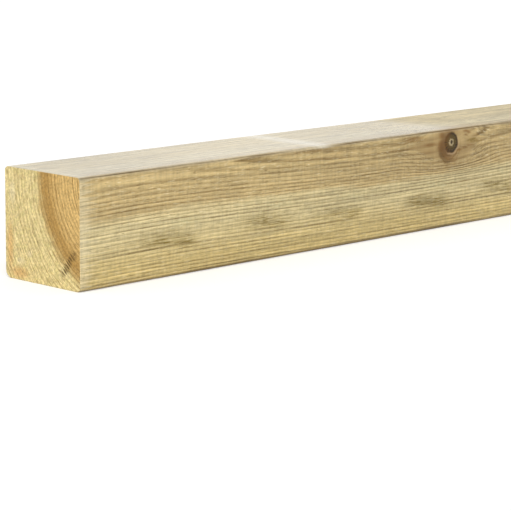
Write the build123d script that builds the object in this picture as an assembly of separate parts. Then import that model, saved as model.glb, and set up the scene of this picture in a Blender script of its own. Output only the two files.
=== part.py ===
from build123d import *
import os

# Square post, planed and cross-cut from one length of pressure-treated pine.
# It lies along X on its underside. The origin is the middle of the underside, and +Z is up.
# The front face looks along -Y, and the cross-cut end that faces -X is the near end.

# Driving dimensions, in millimetres
POST_LENGTH = 1800.0  # along the grain, one of the lengths that such posts are sold in
POST_WIDTH = 90.0  # across, from the front face to the back face
POST_HEIGHT = 90.0  # from the underside to the top face
ARRIS_RADIUS = 3.5  # rounding that the planer leaves on the two top arrises and the lower front one
LOWER_BACK_RADIUS = 6.5  # the lower back arris is rounder than the other three
SAWN_EDGE_BREAK = 0.5  # break that handling leaves on the edges of the two cross-cut ends


def planed_section():
    """The cross-section as the planer leaves it: a rectangle on the underside, with four rounded arrises."""
    front, back = -POST_WIDTH / 2, POST_WIDTH / 2
    evenly_rounded = ((front, 0), (front, POST_HEIGHT), (back, POST_HEIGHT))
    section = Rectangle(POST_WIDTH, POST_HEIGHT, align=(Align.CENTER, Align.MIN))
    lower_back = section.vertices().sort_by_distance((back, 0))[0]
    section = fillet(lower_back, LOWER_BACK_RADIUS)
    corners = [section.vertices().sort_by_distance(corner)[0] for corner in evenly_rounded]
    return fillet(corners, ARRIS_RADIUS)


def square_post():
    """The section run out to the post's length, with the edges of both cross-cut ends broken."""
    near_end = Plane.YZ.offset(-POST_LENGTH / 2)
    blank = extrude(near_end * planed_section(), POST_LENGTH)
    ends = blank.faces().sort_by(Axis.X)
    return chamfer(ends[0].edges() + ends[-1].edges(), SAWN_EDGE_BREAK)


def main():
    os.makedirs("parts", exist_ok=True)
    export_step(square_post(), "parts/post.step")


main()
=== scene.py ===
"""Treated pine post: one square length of planed, pressure-treated pine, dressed over its plain solid."""

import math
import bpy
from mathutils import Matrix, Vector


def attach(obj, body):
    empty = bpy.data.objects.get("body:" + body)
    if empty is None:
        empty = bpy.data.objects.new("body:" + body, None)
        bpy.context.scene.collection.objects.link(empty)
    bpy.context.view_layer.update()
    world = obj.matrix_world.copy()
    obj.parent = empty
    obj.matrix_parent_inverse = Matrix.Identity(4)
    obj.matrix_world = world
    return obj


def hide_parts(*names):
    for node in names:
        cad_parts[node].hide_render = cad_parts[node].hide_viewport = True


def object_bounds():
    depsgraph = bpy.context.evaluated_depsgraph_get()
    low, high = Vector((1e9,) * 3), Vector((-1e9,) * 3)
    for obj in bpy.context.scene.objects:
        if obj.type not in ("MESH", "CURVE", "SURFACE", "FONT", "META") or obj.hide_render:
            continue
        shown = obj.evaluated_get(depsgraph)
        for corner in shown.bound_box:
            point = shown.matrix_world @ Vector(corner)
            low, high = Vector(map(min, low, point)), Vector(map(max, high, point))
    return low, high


bl_info = {
    "name": "Treated pine post",
    "version": (1, 0, 0),
    "blender": (4, 5, 0),
    "location": "View3D > Sidebar > Pine post",
    "description": "Models a planed, pressure-treated pine post with its growth rings, knots and sawn ends",
    "category": "Object",
}

from collections import namedtuple

import bmesh
import bpy
import numpy as np
from bpy.props import FloatProperty, FloatVectorProperty, IntProperty, PointerProperty
from mathutils import Matrix, Vector, noise

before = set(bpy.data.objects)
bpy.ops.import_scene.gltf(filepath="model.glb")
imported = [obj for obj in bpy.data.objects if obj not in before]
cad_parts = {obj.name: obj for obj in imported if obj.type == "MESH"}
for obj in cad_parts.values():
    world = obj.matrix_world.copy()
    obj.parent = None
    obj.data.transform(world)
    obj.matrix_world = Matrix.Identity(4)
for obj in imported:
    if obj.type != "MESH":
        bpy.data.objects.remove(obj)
CAD_BOX = [list(corner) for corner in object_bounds()]
LOW, HIGH = (Vector(corner) for corner in CAD_BOX)
LENGTH, WIDTH, HEIGHT = HIGH - LOW

MM = 0.001  # one millimetre in metres
TINY = 1e-6  # keeps a length from being zero

# The tree that the post was sawn from, in millimetres. Its pith ran in front of the front face, near the
# height of the top face, so the rings stand upright there and lean over towards the lower front arris.
PITH_Y = -85.0
PITH_Z = 89.0
PITH_SWAY = 2.2  # how far the pith wanders towards the post and away from it
PITH_SWAY_LENGTH = 560.0
PITH_SWAY_START = 190.0
PITH_LIFT = 1.4  # how far it wanders up and down
PITH_LIFT_LENGTH = 830.0
INNER_RINGS_PER_MM = 0.64  # narrow rings near the pith
OUTER_RINGS_FEWER = 0.25  # how many fewer there are to a millimetre in the quicker years outside
OUTER_START = 54.0  # radius where the quicker years begin
OUTER_BLEND = 5.0  # radius over which they set in
# Unevenness of the rings: how far they wander, the size of a wander along X, Y and Z, and its seed
RING_WANDER = ((0.55, (160.0, 26.0, 26.0), 3.7), (0.16, (60.0, 9.0, 9.0), 11.3))

# Branches that run through the post. Each leaves the pith and shows as a knot where a face cuts it.
# along: millimetres from the near end. bearing: degrees below the level of the pith.
# core: radius in millimetres where it enters the front face. reach: how far from the pith it grew.
Branch = namedtuple("Branch", "along bearing core reach")
BRANCHES = (
    Branch(along=447.0, bearing=16.0, core=8.9, reach=155.0),
    Branch(along=905.0, bearing=38.0, core=7.0, reach=150.0),
    Branch(along=918.0, bearing=5.0, core=4.5, reach=90.0),
    Branch(along=1330.0, bearing=24.0, core=9.5, reach=160.0),
    Branch(along=1318.0, bearing=50.0, core=6.0, reach=150.0),
    Branch(along=1690.0, bearing=12.0, core=7.0, reach=155.0),
    Branch(along=1702.0, bearing=57.0, core=5.5, reach=120.0),
)
BRANCH_TAPER = 0.3  # power by which a branch thickens with its distance from the pith
BRANCH_END = 8.0  # millimetres over which it ends, before and past its reach
HEALED_AFTER = 60.0  # millimetres of growth past its reach that straighten the rings

# How the rings swerve round a branch, in radii of its knot
SWERVE_MOST = 1.65  # how far they are pushed aside
SWERVE_MIDDLE = 0.7  # where along the grain they are pushed the most
SWERVE_NEAR = 9.3  # length of the swerve towards the near end
SWERVE_FAR = 4.2  # its length towards the far end, level with the knot
SWERVE_FAR_SPREAD = 2.0  # how much longer that gets with each radius of height
SWERVE_FADE = (1.7, 3.5)  # heights between which the swerve fades
SWERVE_ROOM = 0.97  # share of its distance from the branch that a ring may be pushed
FIBRE_SWERVE = 0.92  # share of the swerve that the fibres follow

# Wood that a knot changes round it, as spots in radii of the knot. Each spot has its place along the
# grain and across it, its half length and half height, and its strength.
KNOT_RESIN = (
    (-6.0, 0.85, 1.9, 0.32, 0.9), (-3.4, 0.05, 1.3, 0.22, 0.9), (-1.55, 0.9, 0.6, 0.5, 0.9),
    (-1.6, -0.3, 0.7, 0.8, 0.9), (-1.3, -1.25, 0.8, 0.6, 0.5), (-3.5, -0.7, 1.8, 0.6, 0.45),
    (0.2, 1.2, 1.6, 0.3, 0.7), (2.3, 1.0, 0.5, 0.14, 1.0), (2.75, 0.82, 0.35, 0.2, 1.0),
    (2.35, 0.58, 0.4, 0.12, 1.0), (1.3, -0.8, 0.6, 0.16, 1.0), (2.1, -0.64, 0.6, 0.14, 1.0),
    (2.95, -0.5, 0.5, 0.12, 1.0), (4.0, 0.4, 0.3, 0.4, 0.35),
)
KNOT_PALE = (
    (-3.4, 0.9, 1.1, 0.3, 0.55), (1.7, 0.35, 1.0, 0.9, 0.65), (3.1, 0.65, 1.1, 0.6, 0.7),
    (2.4, 0.38, 0.5, 0.15, 0.9), (3.1, 0.6, 0.5, 0.15, 1.0), (3.9, 0.84, 0.5, 0.15, 0.9),
)
KNOT_OLIVE = ((3.5, -0.05, 1.2, 0.35, 0.9),)
FAR_FROM_KNOT = 100.0  # a place too far from any knot to show it, in radii
KNOT_SHOWS = 9.0  # how far from a knot its place is kept, in radii

# Stains of the front face, as spots in millimetres from the near end and from the underside
FRONT_STREAKS = (
    (255.0, 86.5, 60.0, 2.2, 0.45), (300.0, 81.0, 70.0, 3.5, 0.3), (40.0, 86.0, 25.0, 2.5, 0.3),
)
FRONT_PALE = ((95.0, 84.5, 40.0, 4.5, 0.8), (170.0, 80.0, 30.0, 3.0, 0.3))
WHORL_REACH = 130.0  # how far along the grain a whorl of knots tints the heart
HEART_EDGE = (50.0, 60.0)  # radii between which that tint ends

# Pools of preservative along the front face, in millimetres
POOL_COUNT = 17
POOL_FIRST = 102.0
POOL_SPACING = 105.0
POOL_LEVEL = 29.0
EVEN_POOLS = 5  # the first pools are much alike
LESS_ALIKE = 3.0  # how many times more the others differ

# Marks of the top face, in millimetres from the near end
PALE_BAND_PLACE = 276.0  # pale band across the top, drawn with the painted sheen at full strength
PALE_BAND_HALF_WIDTH = 13.0
DULL_START = 462.0  # where a stretch without sheen begins
DULL_LENGTH = 1050.0  # from one such stretch to the next
DULL_SLANT = 0.15  # how far its border leans along the post

# Marks of the near end, as places and spots in millimetres across the post and up it
FLECK_ACROSS = -31.5
FLECK_UP = 20.5
FLECK_HALF_LENGTH = 13.0
FLECK_HALF_WIDTH = 3.2
DARK_RING = 107.0  # radius of a dark ring from the pith
DARK_RING_HALF_WIDTH = 0.9
DARK_RING_UP = 39.0
DARK_RING_HALF_HEIGHT = 11.0
# Pale spots of the near end; the first, a tall strip by the back arris high up, is a painted highlight
END_PALE_SPOTS = ((36.0, 70.0, 4.0, 9.0, 1.0), (15.0, 23.0, 3.0, 3.0, 0.8), (27.0, 16.0, 5.0, 3.0, 0.8))
END_RUST = ((39.0, 26.0, 4.0, 20.0, 1.0), (28.0, 6.0, 12.0, 5.0, 1.0))

# Depth of the larger relief, in millimetres
DENT_DEPTH = 0.35  # dents along the arrises
BARK_DEPTH = 0.30  # groove of bark round a knot
PITH_DEPTH = 0.45  # hole in the middle of a knot

# The stage, in metres. Directions run from the post towards the light.
FLOOR_HALF_WIDTH = 20.0
FLOOR_LIFT = 0.16  # how much lighter the camera sees the floor
TOWARDS_KEY = (-0.50, -0.36, 0.79)
TOWARDS_PANEL = (0.71, 0.70, 0.13)
PANEL_DISTANCE = 4.5
PANEL_SIZE = (3.4, 1.4)
SENSOR_WIDTH = 36.0  # of the camera, in millimetres

# Fields that the mesh keeps at each vertex, for the materials to read
NUMBER_FIELDS = (
    "growth", "away", "resin", "pale", "olive", "calm",
    "verdigris", "fleck", "arris", "dull", "painted_sheen", "tone",
)
VECTOR_FIELDS = ("grain", "knot")


def linear(hexadecimal):
    """An sRGB colour such as #c0a070, as the linear red, green and blue that the shaders take."""
    parts = [int(hexadecimal[i:i + 2], 16) / 255 for i in (1, 3, 5)]
    return tuple(p / 12.92 if p <= 0.04045 else ((p + 0.055) / 1.055) ** 2.4 for p in parts)


def per_metre(millimetres):
    """How often a pattern of this size repeats in a metre, which is the scale that a texture takes."""
    return 1.0 / (millimetres * MM)


def length_property(name, description, default):
    return FloatProperty(
        name=name, description=description, default=default, subtype="DISTANCE", unit="LENGTH"
    )


def colour_property(name, description, default):
    return FloatVectorProperty(
        name=name, description=description, default=linear(default), subtype="COLOR", size=3
    )


class PostSizes(bpy.types.PropertyGroup):
    """Sizes of the post's edges, its mesh and its relief."""

    arris: length_property("Arris radius", "Rounding of the top arrises and the lower front one", 0.0035)
    lower_back_arris: length_property("Lower back radius", "Rounding of the lower back arris", 0.0065)
    end_break: length_property("End break", "Break round the edges of the two sawn ends", 0.0005)
    grain_depth: length_property("Grain depth", "How far the earlywood lies below the latewood", 0.00008)
    sawn_depth: length_property("Sawn depth", "How rough the saw left the two ends", 0.00022)
    cells_across: IntProperty(name="Cells across", description="Mesh cells across each face", default=84)
    slices: IntProperty(name="Slices", description="Mesh cells along the post", default=244)


class PostColours(bpy.types.PropertyGroup):
    """Colours of the treated pine."""

    heart: colour_property("Heartwood", "Tan wood near the pith, with little preservative", "#d0b780")
    treated: colour_property("Treated sapwood", "Pale wood next to the heart, treated through", "#e2d29f")
    outer: colour_property("Outer sapwood", "Golden wood of the outer rings", "#dac384")
    latewood: colour_property("Latewood", "The dark part of each growth ring", "#614400")
    olive: colour_property("Olive stain", "Where the preservative pooled and dried dark", "#7a6418")
    verdigris: colour_property("Green bloom", "Pale green bloom of the preservative's copper", "#cbc998")
    resin: colour_property("Resin", "Brown resinous wood beside a knot", "#80581f")
    pale: colour_property("Pale wood", "Pale wood that swells round a knot or dried in a patch", "#dfc58c")
    fleck: colour_property("Fleck", "Small dark flecks in the grain", "#54401c")
    # Also painted shade: along the lower front arris this colour stands for the shade at the foot of the
    # face; along the upper front arris it draws a dark line
    arris: colour_property("Worn arris", "Handled, darker wood along an arris", "#624600")
    knot: colour_property("Knot", "Dark wood of a knot", "#4b3700")
    knot_red: colour_property("Red knot wood", "Redder wood on the soft side of a knot", "#68440f")
    knot_grey: colour_property("Grey knot wood", "Greyer rings round the heart of a knot", "#62501e")
    knot_rim: colour_property("Knot rim", "Pale line round the lower edge of a knot", "#c6a67c")
    knot_heart: colour_property("Knot heart", "Pale middle of a knot", "#cdb98c")
    bark: colour_property("Bark line", "Bark and resin round a knot", "#342200")
    # Also used for the pale spots of the near end, one of which, by the upper back arris, is a painted
    # highlight
    dry_and_highlight: colour_property("Dry end", "Greyer wood that dried out beside a sawn end", "#e6d7ae")
    # Painted sheen: the whitening that a reflection at a low angle gives the top face, painted as a colour
    painted_sheen: colour_property("Bleached top", "Grey that sun and rain leave on the upper face", "#cbc4b2")
    end_heart: colour_property("Sawn heartwood", "End grain of the heartwood", "#deba76")
    end_band: colour_property("Sawn heart edge", "Dark rings at the edge of the heart", "#a57c36")
    end_sap: colour_property("Sawn sapwood", "End grain of the sapwood", "#e8d498")
    end_green: colour_property("Sawn green", "Preservative drawn into the end grain", "#cfc47a")
    end_late: colour_property("Sawn latewood", "Dark ring lines of the end grain", "#7f5a1c")
    end_rust: colour_property("Sawn rust", "Orange tinge along the edges of the end", "#dda25a")


class StudioSettings(bpy.types.PropertyGroup):
    """The floor, the light and the camera."""

    floor: colour_property("Floor", "Colour of the floor", "#f4f4f4")
    sky: FloatProperty(name="Sky", description="Strength of the even light from all round", default=0.62)
    key: FloatProperty(name="Key light", description="Strength of the soft light from above", default=1.6)
    back: FloatProperty(
        name="Back panel", description="Power of the low panel behind the post, in watts", default=4.5
    )
    key_spread: FloatProperty(
        name="Key spread", description="Width of the key light", default=math.radians(35), subtype="ANGLE"
    )
    lens: FloatProperty(name="Lens", description="Focal length of the camera, in mm", default=157.3)
    azimuth: FloatProperty(
        name="Azimuth", description="Turn of the camera about the post",
        default=math.radians(-45.66), subtype="ANGLE",
    )
    elevation: FloatProperty(
        name="Elevation", description="Height of the camera's view",
        default=math.radians(10.5), subtype="ANGLE",
    )
    roll: FloatProperty(
        name="Roll", description="Tilt of the camera's frame", default=math.radians(0.47), subtype="ANGLE"
    )
    camera_place: FloatVectorProperty(
        name="Camera place", description="Place of the camera from the foot of the near end",
        default=(-1.1161, -1.3251, 0.3445), subtype="TRANSLATION", unit="LENGTH",
    )


def smooth_step(low, high, value):
    """Smooth rise from 0 at low to 1 at high."""
    share = np.clip((value - low) / (high - low), 0.0, 1.0)
    return share * share * (3.0 - 2.0 * share)


def soft_plus(value, width):
    """Zero below zero and value above it, with a soft bend of the given width."""
    return width * np.log1p(np.exp(value / width))


def soft_least(first, second):
    """The smaller of two positive lengths, with a soft bend where they are alike."""
    sharpness = 8.0
    return (first ** -sharpness + second ** -sharpness) ** (-1.0 / sharpness)


def swing(along, middle, length):
    """A slow swing along the post: 1 at the middle, -1 half a length away from it."""
    return np.cos(2 * np.pi * (along - middle) / length)


def lumps(points, size, seed):
    """Smooth noise from -1 to 1 at each point, with lumps of the given size along X, Y and Z."""
    places = points / np.array(size) + seed
    return np.array([noise.noise(place) for place in places.tolist()])


def pith_at(along):
    """The pith's Y and Z at each distance along the post."""
    sway = np.sin(2 * np.pi * (along - PITH_SWAY_START) / PITH_SWAY_LENGTH)
    lift = np.sin(2 * np.pi * along / PITH_LIFT_LENGTH)
    return PITH_Y + PITH_SWAY * sway, PITH_Z + PITH_LIFT * lift


def spots(across, up, table):
    """Soft oval spots, joined into one field from 0 to 1. Each has its middle, its level, its half length
    and half height, and its strength."""
    field = np.zeros(len(across))
    for middle, level, half_length, half_height, strength in table:
        spot = np.exp(-((across - middle) / half_length) ** 2 - ((up - level) / half_height) ** 2)
        field = np.maximum(field, strength * spot)
    return field


def branch_fields(branch, points):
    """What a branch does to the wood: each point's place in radii of its knot, how far the rings swerve
    round it, and its marks, which are three stains and the calm wood beside it."""
    apex_y, apex_z = (float(value) for value in pith_at(np.array(branch.along)))
    bearing = math.radians(branch.bearing)
    outward = np.array([0.0, math.cos(bearing), -math.sin(bearing)])
    upward = np.array([0.0, math.sin(bearing), math.cos(bearing)])
    offset = points - np.array([branch.along, apex_y, apex_z])
    out = offset @ outward
    up = offset @ upward
    side = offset[:, 0]
    entry = (-WIDTH / 2 / MM - apex_y) / outward[1]
    radius = branch.core * np.clip(out / entry, 0.2, None) ** BRANCH_TAPER
    alive = 1.0 - smooth_step(branch.reach - BRANCH_END, branch.reach + BRANCH_END, out)
    core = radius * alive + 0.01  # never zero: past its end a branch is far away
    healed = 1.0 - smooth_step(branch.reach, branch.reach + HEALED_AFTER, out)
    rise = np.abs(up / radius)
    far_length = SWERVE_FAR + SWERVE_FAR_SPREAD * rise
    reach_along = np.where(side > SWERVE_MIDDLE * radius, far_length, SWERVE_NEAR)
    length_share = 1.0 - smooth_step(0.0, reach_along, np.abs(side / radius - SWERVE_MIDDLE))
    height_share = 1.0 - smooth_step(*SWERVE_FADE, rise)
    wanted = SWERVE_MOST * radius * length_share * height_share * healed + TINY
    moved = soft_least(wanted, SWERVE_ROOM * np.abs(up) + TINY)
    swerve = -(np.sign(up) * moved)[:, None] * upward
    place = np.stack([side / core, up / core, np.zeros(len(points))], 1)
    marks = [
        spots(side / radius, up / radius, table) * alive
        for table in (KNOT_RESIN, KNOT_PALE, KNOT_OLIVE)
    ]
    marks.append(alive * smooth_step(0.5, 1.3, wanted / (np.abs(up) + 1.0)))
    return place, swerve, marks


def tree_fields(points):
    """How the tree grew at each point. Points are in millimetres, with X from the near end."""
    swerve = np.zeros(points.shape)
    knot = np.full(points.shape, FAR_FROM_KNOT)
    away = np.full(len(points), FAR_FROM_KNOT)
    marks = [np.zeros(len(points)) for _ in range(4)]
    for branch in BRANCHES:
        place, its_swerve, its_marks = branch_fields(branch, points)
        swerve += its_swerve
        its_away = np.hypot(place[:, 0], place[:, 1])
        closer = its_away < np.minimum(away, KNOT_SHOWS)
        knot[closer] = place[closer]
        away = np.minimum(away, its_away)
        marks = [np.maximum(old, new) for old, new in zip(marks, its_marks)]
    pith_y, pith_z = pith_at(points[:, 0])
    bent = points + swerve
    wander = sum(most * lumps(bent, size, seed) for most, size, seed in RING_WANDER)
    radius = np.hypot(points[:, 1] - pith_y, points[:, 2] - pith_z) + wander
    ring_radius = np.hypot(bent[:, 1] - pith_y, bent[:, 2] - pith_z) + wander
    fibre = points + FIBRE_SWERVE * swerve
    sweep = np.arctan2(pith_z - fibre[:, 2], fibre[:, 1] - pith_y) * radius
    growth = INNER_RINGS_PER_MM * ring_radius
    growth -= OUTER_RINGS_FEWER * soft_plus(ring_radius - OUTER_START, OUTER_BLEND)
    grain = np.stack([radius, sweep, points[:, 0]], 1)
    return {
        "growth": growth, "grain": grain, "knot": knot, "away": away,
        "resin": marks[0], "pale": marks[1], "olive": marks[2], "calm": marks[3],
    }


def pool_spots():
    """Spots of the pools of preservative along the front face, each a long stain with a darker core, and of
    the green bloom above them."""
    pools = []
    blooms = []
    for mark in range(POOL_COUNT):
        uneven = 1.0 if mark < EVEN_POOLS else LESS_ALIKE
        middle = POOL_FIRST + POOL_SPACING * mark + 7.0 * uneven * math.sin(2.3 * mark)
        level = POOL_LEVEL + 3.0 * uneven * math.sin(1.7 * mark)
        strength = 1.0 - 0.2 * uneven * math.sin(4.1 * mark) ** 2
        half_length = 27.0 + 5.0 * uneven * math.sin(3.1 * mark)
        pools.append((middle - 14.0, level + 2.0, half_length, 8.0, 0.8 * strength))
        pools.append((middle + 8.0, level - 1.0, 16.0, 8.5, 0.88 * strength))
        blooms.append((middle + 12.0, level + 14.0, 24.0, 5.0, 0.8 * strength))
    return pools, blooms


def mark_planed_faces(points, fields):
    """Adds the stains and pale patches of the long faces, a dark line along the upper front arris, painted
    shade along the lower one and painted sheen on the top.
    """
    along, across, height = points.T
    from_front = across + WIDTH / 2 / MM
    from_top = HEIGHT / MM - height
    front = 1.0 - smooth_step(0.5, 5.0, from_front)
    top = 1.0 - smooth_step(0.5, 4.0, from_top)

    # Pools of preservative and their bloom: placed on the front, scattered on the other faces
    pools, blooms = pool_spots()
    elsewhere = np.clip(0.1 + 1.5 * lumps(points, (70.0, 22.0, 22.0), 21.9), 0.0, 1.0)
    olive = front * spots(along, height, pools) + 0.6 * (1.0 - front) * elsewhere
    fields["olive"] = np.maximum(fields["olive"], olive)
    bloom = np.clip(0.1 + 1.5 * lumps(points, (60.0, 18.0, 18.0), 61.9), 0.0, 1.0)
    fields["verdigris"] = front * spots(along, height, blooms) + 0.5 * (1.0 - front) * bloom

    # Resin near the whorls of knots and in a few streaks
    whorls = [np.exp(-((along - branch.along) / WHORL_REACH) ** 2) for branch in BRANCHES]
    near_whorl = np.max(whorls, 0)
    heart = 1.0 - smooth_step(*HEART_EDGE, fields["grain"][:, 0])
    fields["resin"] = np.maximum(fields["resin"], 0.3 * near_whorl * heart)
    fields["resin"] = np.maximum(fields["resin"], front * spots(along, height, FRONT_STREAKS))

    # A dark line along the upper front arris, painted shade along the lower front arris, and pale patches
    # that dried out
    patchiness = np.clip(0.5 + 0.9 * lumps(points, (60.0, 30.0, 30.0), 71.3), 0.15, 1.0)
    darker_stretches = np.maximum(0.6 * (1.0 - smooth_step(170.0, 205.0, along)), 0.9 * near_whorl)
    upper = np.maximum(patchiness, darker_stretches) * front * np.exp(-((from_top - 1.1) / 0.7) ** 2)
    # Painted shade: the front face darkens towards its lower arris, where shade falls at its foot
    lower = (0.5 + 0.3 * patchiness) * front * np.exp(-(height / 2.6) ** 2)
    fields["arris"] = np.maximum(upper, lower)
    fields["pale"] = np.maximum(fields["pale"], front * spots(along, height, FRONT_PALE))

    # Painted sheen on the top face, the whitening that a reflection at a low angle gives it, with its dull
    # stretches and a pale band across it at full strength; and the uneven tone of all faces, which the pale
    # band lifts
    past_border = along - DULL_START + DULL_SLANT * from_front
    fields["dull"] = top * smooth_step(-0.15, 0.15, np.sin(2 * np.pi * past_border / DULL_LENGTH))
    pale_band = top * np.exp(-((along - PALE_BAND_PLACE) / PALE_BAND_HALF_WIDTH) ** 6)
    # Painted sheen over the whole top, at full strength in the pale band
    fields["painted_sheen"] = np.maximum(0.5 * top, pale_band)
    side_tone = 0.065 * swing(along, 60.0, 720.0) - 0.055
    top_tone = 0.07 * swing(along, 200.0, 300.0) - 0.06
    fields["tone"] = (1.0 - top) * side_tone + top * top_tone + 0.26 * pale_band


def mark_near_end(points, fields):
    """Adds the marks of the near end: dark strokes, a dark ring, pale spots, one of them a painted
    highlight by the upper back arris, and rusty edges.
    """
    along, across, height = points.T
    near = 1.0 - smooth_step(1.0, 4.0, along)
    turn = math.atan2(FLECK_UP - PITH_Z, FLECK_ACROSS - PITH_Y)
    beside, above = across - FLECK_ACROSS, height - FLECK_UP
    radial = beside * math.cos(turn) + above * math.sin(turn)
    sideways = above * math.cos(turn) - beside * math.sin(turn)
    patch = np.exp(-(radial / FLECK_HALF_LENGTH) ** 4 - (sideways / FLECK_HALF_WIDTH) ** 2)
    off_ring = (fields["grain"][:, 0] - DARK_RING) / DARK_RING_HALF_WIDTH
    dark_ring = np.exp(-off_ring ** 2 - ((height - DARK_RING_UP) / DARK_RING_HALF_HEIGHT) ** 4)
    fields["fleck"] = near * np.maximum(patch, 0.8 * dark_ring)
    fields["pale"] = np.maximum(fields["pale"], near * spots(across, height, END_PALE_SPOTS))
    fields["resin"] = np.maximum(fields["resin"], near * spots(across, height, END_RUST))


def latewood_of(growth):
    """How far each point lies in the dark, hard end of its ring: slowly up to 1, then quickly back to 0."""
    turn = growth - np.floor(growth)
    return smooth_step(0.3, 0.88, turn) * (1.0 - smooth_step(0.92, 1.0, turn))


def relief(points, normals, fields, sizes):
    """Depth in millimetres below the planed or sawn surface."""
    sawn = smooth_step(0.6, 0.95, np.abs(normals[:, 0]))
    soft = 1.0 - latewood_of(fields["growth"])
    depth = (1.0 - sawn) * soft * sizes.grain_depth / MM
    rough = 0.5 + 0.5 * lumps(points, (1.3, 1.3, 1.3), 41.3)
    depth += sawn * (0.45 * soft + 0.55 * rough) * sizes.sawn_depth / MM
    arris = smooth_step(0.25, 0.7, np.minimum(np.abs(normals[:, 1]), np.abs(normals[:, 2])))
    depth += arris * np.clip(0.1 + 0.4 * lumps(points, (24.0, 9.0, 9.0), 51.7), 0.0, DENT_DEPTH)
    bark = np.exp(-((fields["away"] - 1.04) / 0.10) ** 2)
    pith_hole = 1.0 - smooth_step(0.05, 0.16, fields["away"])
    depth += (1.0 - sawn) * (BARK_DEPTH * bark + PITH_DEPTH * pith_hole)
    return depth


def near_end_grid(bm, sizes):
    """The near end as a grid of small faces, with its corners drawn in to the four arrises."""
    cells = sizes.cells_across
    grid = bmesh.ops.create_grid(bm, x_segments=cells, y_segments=cells, size=0.5)
    for vert in grid["verts"]:
        across, up = -vert.co.x * WIDTH, vert.co.y * HEIGHT
        radius = sizes.lower_back_arris if across > 0 and up < 0 else sizes.arris
        flat_across, flat_up = WIDTH / 2 - radius, HEIGHT / 2 - radius
        past_across = (abs(across) - flat_across) / radius
        past_up = (abs(up) - flat_up) / radius
        if past_across > 0 and past_up > 0:
            drawn_across = past_across * math.sqrt(1 - past_up ** 2 / 2)
            drawn_up = past_up * math.sqrt(1 - past_across ** 2 / 2)
            across = math.copysign(flat_across + radius * drawn_across, across)
            up = math.copysign(flat_up + radius * drawn_up, up)
        vert.co = (LOW.x, across, LOW.z + HEIGHT / 2 + up)
    return grid["verts"]


def slice_places(sizes):
    """Distances along the post, in metres, at which its mesh is divided: closest at the knots and ends."""
    plain_step, swerve_step, knot_step, end_step = 0.016, 0.012, 0.0028, 0.003
    swerve_reach, knot_reach, end_reach = 0.08, 0.021, 0.010
    fine = np.linspace(0.0, LENGTH, 6001)
    swerves = [np.exp(-((fine - branch.along * MM) / swerve_reach) ** 2) for branch in BRANCHES]
    density = 1.0 / plain_step + np.max(swerves, 0) / swerve_step
    for branch in BRANCHES:
        size = branch.core / BRANCHES[0].core
        bump = np.exp(-((fine - branch.along * MM) / (knot_reach * size)) ** 2)
        density += size / knot_step * bump
    from_end = np.minimum(fine, LENGTH - fine)
    density += 1.0 / end_step * np.exp(-from_end / end_reach)
    share = np.cumsum(density) - density[0]
    return np.interp(np.linspace(0.0, 1.0, sizes.slices + 1), share / share[-1], fine)


def post_shape(sizes):
    """The post as one closed mesh: its near end drawn out along the grain, slice by slice, to a far end."""
    bm = bmesh.new()
    near_end = near_end_grid(bm, sizes)
    far_end = bmesh.ops.duplicate(bm, geom=bm.faces[:])["geom"]
    far_faces = [item for item in far_end if isinstance(item, bmesh.types.BMFace)]
    far_verts = [item for item in far_end if isinstance(item, bmesh.types.BMVert)]
    bmesh.ops.reverse_faces(bm, faces=far_faces)
    outline = list({edge for vert in near_end for edge in vert.link_edges if edge.is_boundary})
    places = slice_places(sizes)
    for step in np.diff(places):
        drawn = bmesh.ops.extrude_edge_only(bm, edges=outline)["geom"]
        outline = [item for item in drawn if isinstance(item, bmesh.types.BMEdge) and item.is_boundary]
        moved = [item for item in drawn if isinstance(item, bmesh.types.BMVert)]
        bmesh.ops.translate(bm, verts=moved, vec=(step, 0.0, 0.0))
    bmesh.ops.translate(bm, verts=far_verts, vec=(LENGTH, 0.0, 0.0))
    bmesh.ops.remove_doubles(bm, verts=far_verts + moved, dist=0.02 * MM)
    bm.normal_update()
    sawn_edges = [
        edge for edge in bm.edges
        if len(edge.link_faces) == 2 and sum(abs(face.normal.x) > 0.9 for face in edge.link_faces) == 1
    ]
    bmesh.ops.bevel(
        bm, geom=sawn_edges, offset=sizes.end_break, offset_type="OFFSET", segments=2, profile=0.5,
        affect="EDGES", material=-1,
    )
    bmesh.ops.recalc_face_normals(bm, faces=bm.faces[:])
    mesh = bpy.data.meshes.new("planed_post")
    bm.to_mesh(mesh)
    bm.free()
    return mesh


def read_vectors(items, name):
    """A vector property of all the items, as an array of rows."""
    values = np.empty(len(items) * 3, np.float32)
    items.foreach_get(name, values)
    return values.reshape(-1, 3).astype(float)


def shape_and_mark(mesh, sizes):
    """Sinks the relief into the mesh, inside the solid's box, and stores the fields for the finish."""
    places = read_vectors(mesh.vertices, "co")
    normals = read_vectors(mesh.vertex_normals, "vector")
    points = places / MM
    points[:, 0] -= LOW.x / MM
    fields = tree_fields(points)
    mark_planed_faces(points, fields)
    mark_near_end(points, fields)
    depth = relief(points, normals, fields, sizes)
    places = np.clip(places - normals * depth[:, None] * MM, CAD_BOX[0], CAD_BOX[1])
    mesh.vertices.foreach_set("co", places.astype(np.float32).ravel())
    for name in NUMBER_FIELDS:
        field = mesh.attributes.new(name, "FLOAT", "POINT")
        field.data.foreach_set("value", fields[name].astype(np.float32))
    for name in VECTOR_FIELDS:
        field = mesh.attributes.new(name, "FLOAT_VECTOR", "POINT")
        field.data.foreach_set("vector", fields[name].astype(np.float32).ravel())
    facing = read_vectors(mesh.polygons, "normal")
    sawn = (np.abs(facing[:, 0]) > 0.75).astype(np.int32)
    mesh.polygons.foreach_set("material_index", sawn)
    mesh.polygons.foreach_set("use_smooth", np.ones(len(facing), bool))
    mesh.update()


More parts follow.
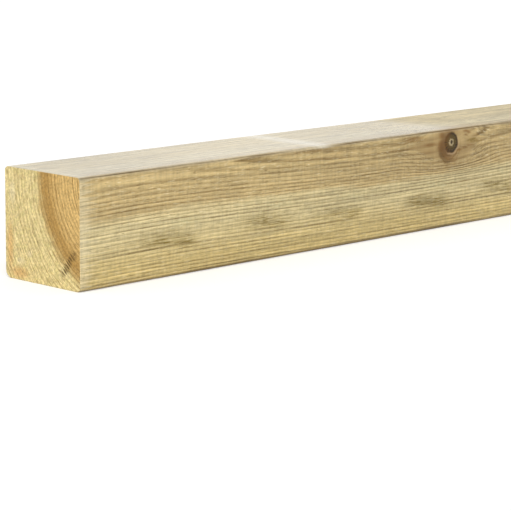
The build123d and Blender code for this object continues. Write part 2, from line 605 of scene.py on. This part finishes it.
def unfold(mesh):
    """A map of the post for pictures of its finish: each long face in two strips, and the ends above."""
    strip, margin, sheet = 0.096, 0.003, 0.93
    end_row = 8
    facing = read_vectors(mesh.polygons, "normal")
    middles = read_vectors(mesh.polygons, "center")
    totals = np.empty(len(mesh.polygons), np.int32)
    mesh.polygons.foreach_get("loop_total", totals)
    face_of_loop = np.repeat(np.arange(len(totals)), totals)
    vert_of_loop = np.empty(len(mesh.loops), np.int32)
    mesh.loops.foreach_get("vertex_index", vert_of_loop)
    places = read_vectors(mesh.vertices, "co")[vert_of_loop]
    axis = np.abs(facing).argmax(1)[face_of_loop]
    forward = (np.take_along_axis(facing, np.abs(facing).argmax(1)[:, None], 1)[:, 0] > 0)[face_of_loop]
    far_half = (middles[:, 0] > 0)[face_of_loop]
    across = places[:, 1] + WIDTH / 2
    height = places[:, 2] - LOW.z
    row = np.where(axis == 0, end_row, (axis - 1) * 4 + forward * 2 + far_half)
    along = np.where(axis == 0, forward * strip + across, places[:, 0] - np.where(far_half, 0.0, LOW.x))
    rise = np.where(axis == 2, across, height)
    uv = np.stack([margin + along, margin + row * strip + rise], 1) / sheet
    layer = mesh.uv_layers.new(name="OFBake")
    layer.uv.foreach_set("vector", uv.astype(np.float32).ravel())


MIX_A, MIX_B, MIX_RESULT = 6, 7, 2  # the colour sockets of a Mix node


def add_node(tree, kind, inputs=None, out=0, **settings):
    """Adds a node with its settings, gives each input a value or a link, and returns one of its outputs."""
    node = tree.nodes.new(kind)
    for name, value in settings.items():
        setattr(node, name, value)
    for name, value in (inputs or {}).items():
        if isinstance(value, bpy.types.NodeSocket):
            tree.links.new(value, node.inputs[name])
        elif node.inputs[name].type == "RGBA":
            node.inputs[name].default_value = (*value, 1.0)
        else:
            node.inputs[name].default_value = value
    return node.outputs[out] if len(node.outputs) else None


def start_material(name):
    """A new material with no nodes yet, and its node tree."""
    material = bpy.data.materials.new(name)
    material.use_nodes = True
    material.node_tree.nodes.clear()
    return material, material.node_tree


def field_nodes(tree):
    """The mesh's fields: numbers, and the two vectors."""
    fields = {}
    for name in NUMBER_FIELDS:
        fields[name] = add_node(tree, "ShaderNodeAttribute", out="Fac", attribute_name=name)
    for name in VECTOR_FIELDS:
        fields[name] = add_node(tree, "ShaderNodeAttribute", out="Vector", attribute_name=name)
    return fields


def grain_noise(tree, fields, across, along, detail=2.0):
    """Noise drawn out along the grain, round the knots too, with its width and length in millimetres."""
    scale = (1.0 / across, 1.0 / across, 1.0 / along)
    place = add_node(tree, "ShaderNodeMapping", {"Vector": fields["grain"], "Scale": scale})
    return add_node(tree, "ShaderNodeTexNoise", {"Vector": place, "Scale": 1.0, "Detail": detail})


def share_of(tree, strength, ranges):
    """How much of a mark shows: its strength times a smooth rise, from low to high, of each field."""
    for field, low, high in ranges:
        rise = add_node(
            tree, "ShaderNodeMapRange", {"Value": field, "From Min": low, "From Max": high},
            interpolation_type="SMOOTHSTEP",
        )
        strength = add_node(tree, "ShaderNodeMath", {0: rise, 1: strength}, operation="MULTIPLY")
    return strength


def tint(tree, wood, layers):
    """Lays tints over the wood in turn, each with its colour, its strength and the fields it follows."""
    for colour, strength, *ranges in layers:
        share = share_of(tree, strength, ranges)
        wood = add_node(
            tree, "ShaderNodeMix", {0: share, MIX_A: wood, MIX_B: colour}, out=MIX_RESULT, data_type="RGBA"
        )
    return wood


def growth_ring_nodes(tree, fields, years, weakest):
    """The rings as the eye sees them: pale earlywood that darkens slowly to a hard edge, no two alike. Each
    stands for this many years, and the weakest are this dark."""
    shiver = grain_noise(tree, fields, 2.6, 70.0)
    offset = add_node(tree, "ShaderNodeMath", {0: shiver, 1: 0.4, 2: -0.2}, operation="MULTIPLY_ADD")
    ring = add_node(
        tree, "ShaderNodeMath", {0: fields["growth"], 1: 1.0 / years, 2: offset}, operation="MULTIPLY_ADD"
    )
    turn = add_node(tree, "ShaderNodeMath", {0: ring}, operation="FRACT")
    year = add_node(tree, "ShaderNodeMath", {0: ring}, operation="FLOOR")
    chance = add_node(tree, "ShaderNodeTexWhiteNoise", {"W": year}, noise_dimensions="1D")
    strength = add_node(tree, "ShaderNodeMapRange", {"Value": chance, "To Min": weakest, "To Max": 1.0})
    return share_of(tree, strength, ((turn, 0.25, 0.75), (turn, 1.0, 0.85)))


def knot_layers(tree, fields, colours):
    """A knot as the eye sees it: a dark core, redder and softer on one side, with cracks along its rays, a
    pale heart and a dark slot of pith. A pale line lies round its lower edge, in a brown collar with a dark
    outline."""
    place, away = fields["knot"], fields["away"]
    ray = add_node(tree, "ShaderNodeVectorMath", {0: place}, operation="NORMALIZE")
    uneven = add_node(tree, "ShaderNodeTexNoise", {"Vector": ray, "Scale": 1.3, "Detail": 1.0})
    size = add_node(tree, "ShaderNodeMath", {0: uneven, 1: 0.3, 2: 0.85}, operation="MULTIPLY_ADD")
    knot = add_node(tree, "ShaderNodeMath", {0: away, 1: size}, operation="DIVIDE")
    cracks = add_node(tree, "ShaderNodeTexNoise", {"Vector": ray, "Scale": 6.0, "Detail": 1.0})
    side, low, left = (
        add_node(tree, "ShaderNodeVectorMath", {0: place, 1: way}, out="Value", operation="DOT_PRODUCT")
        for way in ((1.0, 0.0, 0.0), (0.3, -1.0, 0.0), (-0.8, -0.6, 0.0))
    )
    soft_place = add_node(tree, "ShaderNodeVectorMath", {0: place, 1: (0.5, 0.15, 0.0)}, operation="ADD")
    soft = add_node(tree, "ShaderNodeVectorMath", {0: soft_place}, out="Value", operation="LENGTH")
    collar_place = add_node(tree, "ShaderNodeVectorMath", {0: place, 1: (0.2, 0.14, 0.0)}, operation="ADD")
    collar = add_node(tree, "ShaderNodeVectorMath", {0: collar_place}, out="Value", operation="LENGTH")
    collar = add_node(tree, "ShaderNodeMath", {0: collar, 1: size}, operation="DIVIDE")
    ragged = add_node(tree, "ShaderNodeTexNoise", {"Vector": place, "Scale": 0.9, "Detail": 3.0})
    collar = add_node(tree, "ShaderNodeMath", {0: ragged, 1: 1.1, 2: collar}, operation="MULTIPLY_ADD")
    points = add_node(tree, "ShaderNodeTexNoise", {"Vector": ray, "Scale": 2.6, "Detail": 1.0})
    heart_size = add_node(tree, "ShaderNodeMath", {0: points, 1: 0.9, 2: 0.5}, operation="MULTIPLY_ADD")
    heart = add_node(tree, "ShaderNodeMath", {0: away, 1: heart_size}, operation="DIVIDE")
    slot_place = add_node(
        tree, "ShaderNodeVectorMath", {0: place, 1: (-0.06, -0.04, 0.0)}, operation="ADD"
    )
    slot_place = add_node(
        tree, "ShaderNodeVectorMath", {0: slot_place, 1: (5.2, 4.6, 0.0)}, operation="MULTIPLY"
    )
    slot = add_node(tree, "ShaderNodeVectorMath", {0: slot_place}, out="Value", operation="LENGTH")
    turns = add_node(tree, "ShaderNodeMath", {0: collar, 1: 17.0}, operation="MULTIPLY")
    wave = add_node(tree, "ShaderNodeMath", {0: turns}, operation="SINE")
    core = tint(
        tree, colours.knot,
        ((colours.knot_red, 0.85, (side, 0.3, -0.5)),
         (colours.knot_grey, 0.5, (knot, 0.35, 0.5), (knot, 0.85, 0.65)),
         (colours.bark, 0.75, (cracks, 0.52, 0.6), (knot, 0.5, 0.75)),
         (colours.bark, 0.85, (knot, 0.75, 0.95), (side, -0.6, 0.2)),
         (colours.knot_heart, 0.7, (heart, 0.47, 0.31)),
         (colours.bark, 0.95, (slot, 1.2, 0.7))),
    )
    return knot, (
        (colours.resin, 0.55, (collar, 2.9, 1.8), (left, -0.9, 1.2), (low, -1.6, 0.2)),
        (colours.resin, 0.5, (wave, 0.0, 0.8), (collar, 1.6, 1.8), (collar, 2.5, 2.2), (low, 0.1, 0.8)),
        (colours.knot, 0.45, (collar, 1.85, 2.1), (collar, 2.7, 2.15), (left, 0.3, 1.6), (low, -0.3, 0.6)),
        (colours.knot_red, 0.75, (soft, 1.8, 0.8)),
        (colours.knot_rim, 0.6,
         (knot, 1.0, 1.12), (knot, 1.32, 1.18), (low, -0.3, 0.4), (side, -0.9, -0.2)),
        (core, 1.0, (knot, 1.14, 0.92)),
    )


def planed_pine(colours):
    """Planed pine, pressure treated and uncoated: tan heart, pale treated sapwood with olive stains where
    the preservative pooled, dark latewood lines along the grain, and the dull sheen that a planer's knife
    leaves."""
    material, tree = start_material("planed_treated_pine")
    place = add_node(tree, "ShaderNodeTexCoord", out="Object")
    fields = field_nodes(tree)
    late = growth_ring_nodes(tree, fields, 1.0, 0.5)
    knot, knot_tints = knot_layers(tree, fields, colours)

    # The wood's zones by their distance from the pith in millimetres, with an uneven border
    radius = add_node(tree, "ShaderNodeSeparateXYZ", {0: fields["grain"]})
    patches = grain_noise(tree, fields, 8.0, 70.0, 3.0)
    border = add_node(tree, "ShaderNodeMath", {0: patches, 1: 10.0, 2: radius}, operation="MULTIPLY_ADD")

    # Latewood lines that fade in and out along the grain and stand out round a knot
    fade = grain_noise(tree, fields, 2.6, 60.0)
    weight = add_node(
        tree, "ShaderNodeMapRange",
        {"Value": fade, "From Min": 0.3, "From Max": 0.7, "To Min": 0.32, "To Max": 0.82},
    )
    weight = add_node(
        tree, "ShaderNodeMath", {0: weight, 1: share_of(tree, 0.2, ((knot, 8.0, 2.0),))}, operation="ADD",
        use_clamp=True,
    )
    line = add_node(tree, "ShaderNodeMath", {0: late, 1: weight}, operation="MULTIPLY")
    line = share_of(tree, line, ((fields["calm"], 1.6, 0.0),))

    # Patches and short dashes along the fibres, which break up the stains
    blotch = grain_noise(tree, fields, 1.6, 18.0, 3.0)
    dashes = grain_noise(tree, fields, 1.0, 7.0, 3.0)

    # Greyer wood beside the sawn ends, ragged along the fibres
    raggedness = 40.0 * MM
    along = add_node(tree, "ShaderNodeSeparateXYZ", {0: place})
    along = add_node(tree, "ShaderNodeMath", {0: along}, operation="ABSOLUTE")
    ragged = add_node(tree, "ShaderNodeMath", {0: fade, 1: raggedness, 2: along}, operation="MULTIPLY_ADD")
    edge = HIGH.x + raggedness / 2

    wood = tint(
        tree, colours.heart,
        ((colours.treated, 0.85, (border, 57.5, 62.5)),
         (colours.outer, 1.0, (border, 68.0, 95.0)),
         (colours.latewood, line),
         (colours.resin, 0.3, (fields["calm"], 0.0, 1.0)),
         (colours.olive, 0.45, (fields["olive"], 0.1, 1.0)),
         (colours.olive, 0.75, (fields["olive"], 0.1, 0.8), (blotch, 0.5, 0.62)),
         (colours.verdigris, 0.55, (fields["verdigris"], 0.1, 1.0), (dashes, 0.45, 0.62)),
         (colours.pale, 0.75, (fields["pale"], 0.0, 1.0)),
         (colours.resin, 0.8, (fields["resin"], 0.0, 1.0)),
         (colours.dry_and_highlight, 0.55, (ragged, edge - 17.0 * MM, edge - 3.0 * MM)),
         (colours.latewood, 0.5, (dashes, 0.42, 0.28), (fields["calm"], 0.9, 0.1)),
         (colours.dry_and_highlight, 0.6, (dashes, 0.55, 0.72), (fields["calm"], 0.9, 0.1)),
         # Painted sheen: the top face whitened, most in a pale band across it
         (colours.painted_sheen, 0.9, (fields["painted_sheen"], 0.0, 1.0)),
         # A dark line along the upper front arris, and painted shade along the lower one
         (colours.arris, 1.0, (fields["arris"], 0.0, 1.0)),
         *knot_tints),
    )

    # Light and dark hairs of fibre over broader streaks, and the marks of the planer's knife across the
    # grain, which are drawn wider than real ones, because those are too fine to show
    fibre = grain_noise(tree, fields, 0.9, 45.0, 3.0)
    streak = grain_noise(tree, fields, 4.0, 120.0)
    mottle = grain_noise(tree, fields, 3.0, 12.0)
    knife = grain_noise(tree, fields, 16.0, 2.3)
    shade = add_node(tree, "ShaderNodeMath", {0: streak, 1: 1.2, 2: fibre}, operation="MULTIPLY_ADD")
    shade = add_node(tree, "ShaderNodeMath", {0: mottle, 1: 0.7, 2: shade}, operation="MULTIPLY_ADD")
    shade = add_node(tree, "ShaderNodeMath", {0: knife, 1: 0.6, 2: shade}, operation="MULTIPLY_ADD")
    shade = add_node(
        tree, "ShaderNodeMapRange",
        {"Value": shade, "From Min": 1.35, "From Max": 2.15, "To Min": 0.73, "To Max": 1.27},
    )
    calm = share_of(tree, 0.5, ((fields["calm"], 0.0, 1.0),))
    shade = add_node(tree, "ShaderNodeMix", {0: calm, 2: shade, 3: 1.0})
    shade = add_node(tree, "ShaderNodeMath", {0: shade, 1: fields["tone"]}, operation="ADD")
    wood = add_node(tree, "ShaderNodeHueSaturation", {"Color": wood, "Value": shade})

    # A dull sheen, which is less where the top is weathered and along the worn arrises
    rough = add_node(
        tree, "ShaderNodeMapRange",
        {"Value": fibre, "From Min": 0.3, "From Max": 0.7, "To Min": 0.24, "To Max": 0.34},
    )
    for patchiness in (fields["dull"], fields["arris"]):
        rough = add_node(tree, "ShaderNodeMath", {0: patchiness, 1: 0.3, 2: rough}, operation="MULTIPLY_ADD")
    height = add_node(tree, "ShaderNodeMath", {0: fibre, 1: 0.6, 2: line}, operation="MULTIPLY_ADD")
    bump = add_node(tree, "ShaderNodeBump", {"Height": height, "Strength": 0.4, "Distance": 0.08 * MM})
    surface = add_node(
        tree, "ShaderNodeBsdfPrincipled",
        {"Base Color": wood, "Roughness": rough, "Normal": bump, "IOR": 1.3},
    )
    add_node(tree, "ShaderNodeOutputMaterial", {"Surface": surface})
    return material


def sawn_pine(colours):
    """Pine cut across the grain by a saw: rings as arcs, warm heart, yellow sapwood tinged with green, and
    the light and dark speckle of torn fibre ends, with no sheen."""
    material, tree = start_material("sawn_pine_end")
    place = add_node(tree, "ShaderNodeTexCoord", out="Object")
    fields = field_nodes(tree)
    # Single years are too fine to show here, so each ring stands for more than one
    late = growth_ring_nodes(tree, fields, 1.6, 0.4)
    radius = add_node(tree, "ShaderNodeSeparateXYZ", {0: fields["grain"]})
    patches, mould = (
        add_node(tree, "ShaderNodeTexNoise", {"Vector": place, "Scale": per_metre(size), "Detail": 3.0})
        for size in (11, 5)
    )
    border = add_node(tree, "ShaderNodeMath", {0: patches, 1: 10.0, 2: radius}, operation="MULTIPLY_ADD")
    # Good and bad years, a few rings wide
    years = add_node(
        tree, "ShaderNodeTexNoise", {"W": fields["growth"], "Scale": 1.1, "Detail": 2.0},
        noise_dimensions="1D",
    )
    # Torn fibre ends, as short strokes along the rings
    stroke_scale = (1.0 / 0.8, 1.0 / 9.0, 0.0)
    stretch = add_node(tree, "ShaderNodeMapping", {"Vector": fields["grain"], "Scale": stroke_scale})
    strokes = add_node(tree, "ShaderNodeTexNoise", {"Vector": stretch, "Scale": 1.0, "Detail": 3.0})
    # Single years, in which the dark flecks lie
    single = growth_ring_nodes(tree, fields, 1.0, 0.4)
    wood = tint(
        tree, colours.end_heart,
        ((colours.end_sap, 1.0, (border, 86.0, 102.0)),
         (colours.end_green, 0.35, (border, 90.0, 100.0), (mould, 0.42, 0.65)),
         (colours.end_band, 0.75, (border, 72.0, 88.0), (border, 102.0, 90.0), (strokes, 0.25, 0.5)),
         (colours.end_late, 0.14, (years, 0.54, 0.64)),
         (colours.end_rust, 0.5, (fields["resin"], 0.0, 1.0)),
         (colours.end_late, 0.28, (late, 0.0, 1.0), (border, 104.0, 92.0)),
         (colours.end_late, 0.32, (late, 0.0, 1.0)),
         (colours.end_band, 0.7, (strokes, 0.45, 0.3)),
         # Pale spots, the one by the upper back arris a painted highlight
         (colours.dry_and_highlight, 0.5, (fields["pale"], 0.0, 1.0)),
         (colours.fleck, 0.35, (fields["fleck"], 0.0, 1.0), (strokes, 0.7, 0.4)),
         (colours.fleck, 0.95, (fields["fleck"], 0.0, 0.8), (single, 0.05, 0.5), (strokes, 0.66, 0.5))),
    )
    speckle = add_node(
        tree, "ShaderNodeTexNoise", {"Vector": place, "Scale": per_metre(1.7), "Detail": 2.0}
    )
    mottle = add_node(tree, "ShaderNodeMath", {0: speckle, 1: strokes}, operation="ADD")
    shade = add_node(
        tree, "ShaderNodeMapRange",
        {"Value": mottle, "From Min": 0.7, "From Max": 1.3, "To Min": 0.66, "To Max": 1.32},
    )
    wood = add_node(tree, "ShaderNodeHueSaturation", {"Color": wood, "Value": shade})
    height = add_node(tree, "ShaderNodeMath", {0: mottle, 1: late}, operation="ADD")
    bump = add_node(tree, "ShaderNodeBump", {"Height": height, "Strength": 0.7, "Distance": 0.25 * MM})
    surface = add_node(
        tree, "ShaderNodeBsdfPrincipled",
        {"Base Color": wood, "Roughness": 0.85, "Normal": bump, "IOR": 1.4},
    )
    add_node(tree, "ShaderNodeOutputMaterial", {"Surface": surface})
    return material


class POST_OT_dress(bpy.types.Operator):
    """Model the planed post, with its grain, knots and sawn ends, in place of its plain solid"""

    bl_idname = "post.dress"
    bl_label = "Planed post"

    def execute(self, context):
        sizes, colours = context.scene.post_sizes, context.scene.post_colours
        mesh = post_shape(sizes)
        mesh.materials.append(planed_pine(colours))
        mesh.materials.append(sawn_pine(colours))
        shape_and_mark(mesh, sizes)
        unfold(mesh)
        post = bpy.data.objects.new("planed_post", mesh)
        context.scene.collection.objects.link(post)
        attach(post, "root")
        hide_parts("post")
        return {"FINISHED"}


def seen_directly(tree):
    """1 for rays from the camera and for mirrored or refracted ones, 0 for the rest."""
    path = add_node(tree, "ShaderNodeLightPath").node
    seen = path.outputs["Is Camera Ray"]
    for name in ("Is Glossy Ray", "Is Transmission Ray"):
        seen = add_node(tree, "ShaderNodeMath", {0: seen, 1: path.outputs[name]}, operation="MAXIMUM")
    return seen


def floor_paint(studio):
    """Matt white studio floor, which the camera sees a little lighter, so that it fades into the white."""
    material, tree = start_material("white_floor_paint")
    lift = add_node(tree, "ShaderNodeMath", {0: seen_directly(tree), 1: FLOOR_LIFT}, operation="MULTIPLY")
    surface = add_node(
        tree, "ShaderNodeBsdfPrincipled",
        {"Base Color": studio.floor, "Roughness": 0.9, "Specular IOR Level": 0.0,
         "Emission Color": (1.0, 1.0, 1.0), "Emission Strength": lift},
    )
    add_node(tree, "ShaderNodeOutputMaterial", {"Surface": surface})
    return material


def white_sky(studio):
    """Even light from all round, which the camera and glossy surfaces see as plain white."""
    world = bpy.data.worlds.new("white_sky")
    world.use_nodes = True
    tree = world.node_tree
    tree.nodes.clear()
    strength = add_node(
        tree, "ShaderNodeMapRange", {"Value": seen_directly(tree), "To Min": studio.sky, "To Max": 1.0}
    )
    sky = add_node(tree, "ShaderNodeBackground", {"Color": (1.0, 1.0, 1.0), "Strength": strength})
    add_node(tree, "ShaderNodeOutputWorld", {"Surface": sky})
    return world


class POST_OT_stage(bpy.types.Operator):
    """Set up the white floor, the soft light and the camera"""

    bl_idname = "post.stage"
    bl_label = "Floor, light and camera"

    def execute(self, context):
        scene, studio = context.scene, context.scene.post_studio
        bm = bmesh.new()
        bmesh.ops.create_grid(bm, x_segments=1, y_segments=1, size=FLOOR_HALF_WIDTH)
        mesh = bpy.data.meshes.new("studio_floor")
        bm.to_mesh(mesh)
        bm.free()
        mesh.materials.append(floor_paint(studio))
        floor = bpy.data.objects.new("studio_floor", mesh)
        scene.collection.objects.link(floor)

        scene.world = white_sky(studio)
        lamp = bpy.data.lights.new("key_light", "SUN")
        lamp.energy = studio.key
        lamp.angle = studio.key_spread
        key = bpy.data.objects.new("key_light", lamp)
        key.rotation_euler = Vector(TOWARDS_KEY).to_track_quat("Z", "Y").to_euler()
        scene.collection.objects.link(key)

        panel = bpy.data.lights.new("back_panel", "AREA")
        panel.shape = "RECTANGLE"
        panel.size, panel.size_y = PANEL_SIZE
        panel.energy = studio.back
        back = bpy.data.objects.new("back_panel", panel)
        away = Vector(TOWARDS_PANEL).normalized()
        place = Vector((LOW.x / 2, 0.0, HEIGHT)) + away * PANEL_DISTANCE
        back.matrix_world = Matrix.Translation(place) @ away.to_track_quat("Z", "Y").to_matrix().to_4x4()
        back.visible_camera = False
        scene.collection.objects.link(back)

        lens = bpy.data.cameras.new("camera")
        lens.lens = studio.lens
        lens.sensor_width = SENSOR_WIDTH
        camera = bpy.data.objects.new("camera", lens)
        foot = Vector((LOW.x, (LOW.y + HIGH.y) / 2, LOW.z))
        stand = Matrix.Translation(foot + Vector(studio.camera_place))
        turn = Matrix.Rotation(studio.azimuth, 4, "Z")
        tilt = Matrix.Rotation(math.pi / 2 - studio.elevation, 4, "X")
        roll = Matrix.Rotation(studio.roll, 4, "Z")
        camera.matrix_world = stand @ turn @ tilt @ roll
        scene.collection.objects.link(camera)
        scene.camera = camera
        scene.view_settings.view_transform = "Standard"
        return {"FINISHED"}


class POST_PT_panel(bpy.types.Panel):
    """Sizes, colours and steps of the treated pine post"""

    bl_idname = "POST_PT_panel"
    bl_label = "Treated pine post"
    bl_space_type = "VIEW_3D"
    bl_region_type = "UI"
    bl_category = "Pine post"

    def draw(self, context):
        for settings in (context.scene.post_sizes, context.scene.post_colours, context.scene.post_studio):
            box = self.layout.box()
            for name in settings.__annotations__:
                box.prop(settings, name)
        self.layout.operator(POST_OT_dress.bl_idname)
        self.layout.operator(POST_OT_stage.bl_idname)


CLASSES = (PostSizes, PostColours, StudioSettings, POST_OT_dress, POST_OT_stage, POST_PT_panel)


def register():
    for item in CLASSES:
        bpy.utils.register_class(item)
    bpy.types.Scene.post_sizes = PointerProperty(type=PostSizes)
    bpy.types.Scene.post_colours = PointerProperty(type=PostColours)
    bpy.types.Scene.post_studio = PointerProperty(type=StudioSettings)


def unregister():
    for name in ("post_sizes", "post_colours", "post_studio"):
        delattr(bpy.types.Scene, name)
    for item in reversed(CLASSES):
        bpy.utils.unregister_class(item)


def main():
    register()
    bpy.ops.post.dress()
    bpy.ops.post.stage()


if __name__ == "__main__":
    main()
